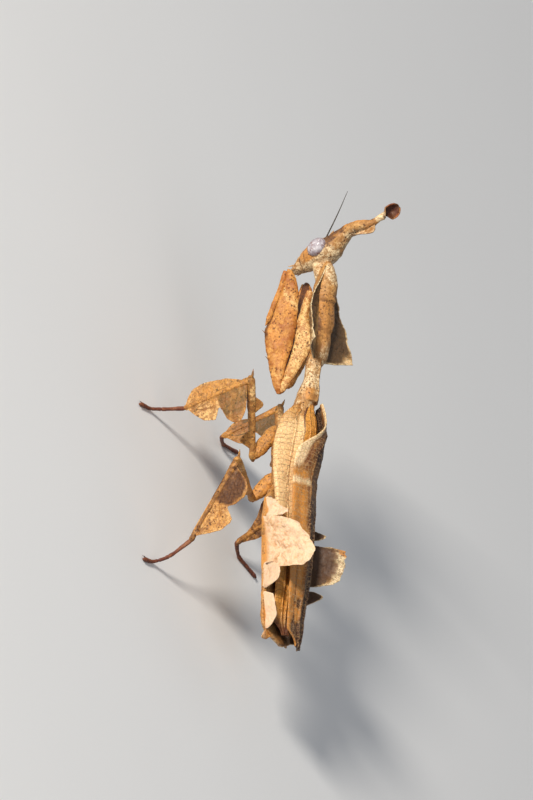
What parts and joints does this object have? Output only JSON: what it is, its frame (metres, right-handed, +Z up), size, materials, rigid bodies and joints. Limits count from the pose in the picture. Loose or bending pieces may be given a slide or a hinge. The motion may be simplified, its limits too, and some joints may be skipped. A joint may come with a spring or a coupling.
{
  "type": "ghost mantis",
  "caption": "Life-size adult female ghost mantis standing with folded forelegs, leafy lobes on legs, neck shield and belly, and a twisted crest on the head.",
  "frame": {"origin": "on the floor, under the middle of the whole animal's box", "axes": "+X back to the tail (the head is at -X), +Y to the animal's right, +Z up"},
  "size_m": [0.0484, 0.027, 0.0269],
  "materials": {
    "head": "speckled tan chitin",
    "eye": "grey-lavender compound eye",
    "pale": "pale soft membrane",
    "body": "dry-leaf chitin with dark specks",
    "wing": "veined dead-leaf wing",
    "lobe": "pale pinkish-beige leafy lobes",
    "leg": "orange-tan chitin with dark specks",
    "foot": "dark red-brown chitin"
  },
  "bodies": {
    "root": {"abdomen": "lobe", "antenna_L": "foot", "antenna_R": "foot", "eye_L": "eye", "eye_R": "eye", "foreleg_L_coxa": "leg", "foreleg_L_femur": "leg", "foreleg_L_tarsus": "foot", "foreleg_L_tibia": "leg", "foreleg_R_coxa": "leg", "foreleg_R_femur": "leg", "foreleg_R_tarsus": "foot", "foreleg_R_tibia": "leg", "head": "head", "hindleg_L_coxa": "leg", "hindleg_L_femur": "leg", "hindleg_L_tarsus": "foot", "hindleg_L_tibia": "leg", "hindleg_R_coxa": "leg", "hindleg_R_femur": "leg", "hindleg_R_tarsus": "foot", "hindleg_R_tibia": "leg", "midleg_L_coxa": "leg", "midleg_L_femur": "leg", "midleg_L_tarsus": "foot", "midleg_L_tibia": "leg", "midleg_R_coxa": "leg", "midleg_R_femur": "leg", "midleg_R_tarsus": "foot", "midleg_R_tibia": "leg", "neck": "pale", "pronotum": "body", "tegmen_L": "wing", "tegmen_R": "wing", "thorax": "body"}
  },
  "joints": []
}
